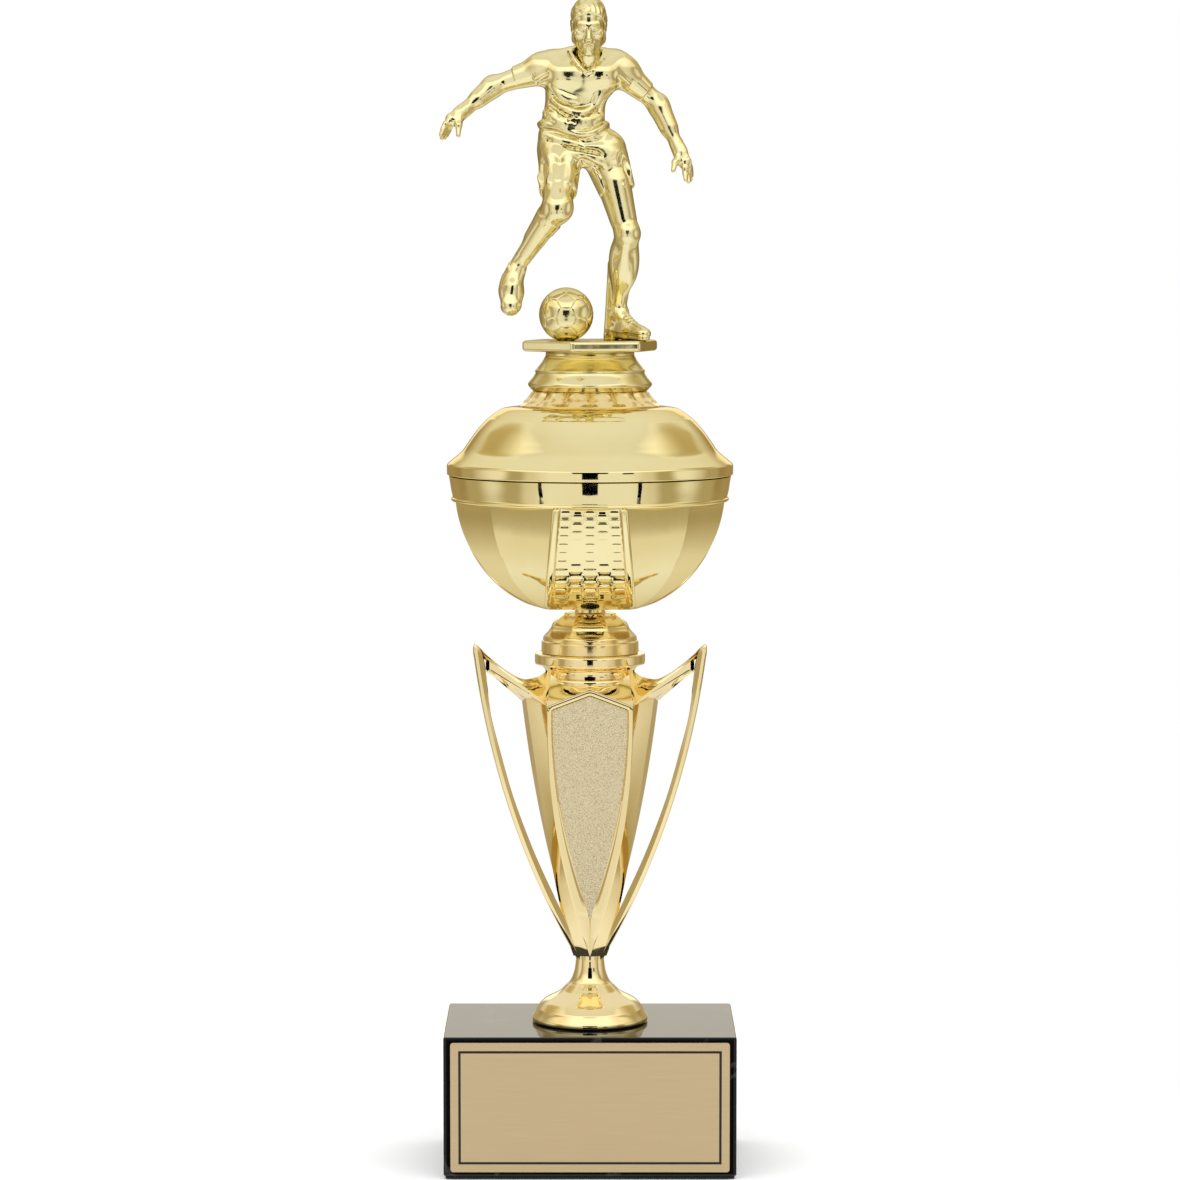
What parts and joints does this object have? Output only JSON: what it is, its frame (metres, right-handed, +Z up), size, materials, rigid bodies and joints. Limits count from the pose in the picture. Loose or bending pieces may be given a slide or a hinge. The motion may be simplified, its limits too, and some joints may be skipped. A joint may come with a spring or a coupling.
{
  "type": "figure trophy",
  "caption": "Tall award: black marble block with name plate, handled three-sided riser, lidded faceted cup, and a player figure with ball on a hexagonal plate",
  "frame": {"origin": "middle of the felt's lower face, on the axis of the tie rod", "axes": "+Z up along the rod, -Y out of the name plate, +X to the viewer's right"},
  "size_m": [0.0969, 0.0936, 0.381],
  "materials": {
    "felt": "short-nap felt, glued on",
    "marble": "polished black marble with faint pale veins",
    "plate_metal": "satin gold-coloured sheet with a thin dark rule line",
    "tape": "double-sided foam tape",
    "zinc_steel": "bright zinc plate",
    "warm_gold": "vacuum-metallised plastic, mirror-bright warm gold",
    "pale_gold": "vacuum-metallised plastic, mirror-bright pale gold",
    "figure_gold": "vacuum-metallised plastic, bright pale gold"
  },
  "bodies": {
    "base": {"base_felt": "felt", "marble_base": "marble", "name_plate": "plate_metal", "plate_tape": "tape", "rod_washer": "zinc_steel", "rod_nut": "zinc_steel", "tie_rod": "zinc_steel"},
    "riser": {"riser_body": "warm_gold", "riser_handle_left": "warm_gold", "riser_handle_right": "warm_gold", "riser_handle_back": "warm_gold", "riser_cap": "warm_gold"},
    "cup": {"bowl_shell": "pale_gold", "bowl_lid": "pale_gold", "lid_adapter": "warm_gold"},
    "figure": {"figure_pedestal": "figure_gold", "figure_nut": "zinc_steel", "figure_plate": "figure_gold", "player_figure": "figure_gold", "soccer_ball": "figure_gold"}
  },
  "joints": [
    {"name": "riser_turn", "type": "hinge", "parent": "base", "child": "riser", "pos_m": [0, 0, 0.0466], "axis": [0, 0, 1], "continuous": true},
    {"name": "cup_turn", "type": "hinge", "parent": "riser", "child": "cup", "pos_m": [0, 0, 0.1837], "axis": [0, 0, 1], "continuous": true},
    {"name": "figure_turn", "type": "hinge", "parent": "cup", "child": "figure", "pos_m": [0, 0, 0.2545], "axis": [0, 0, 1], "range_deg": [-180, 180]}
  ]
}
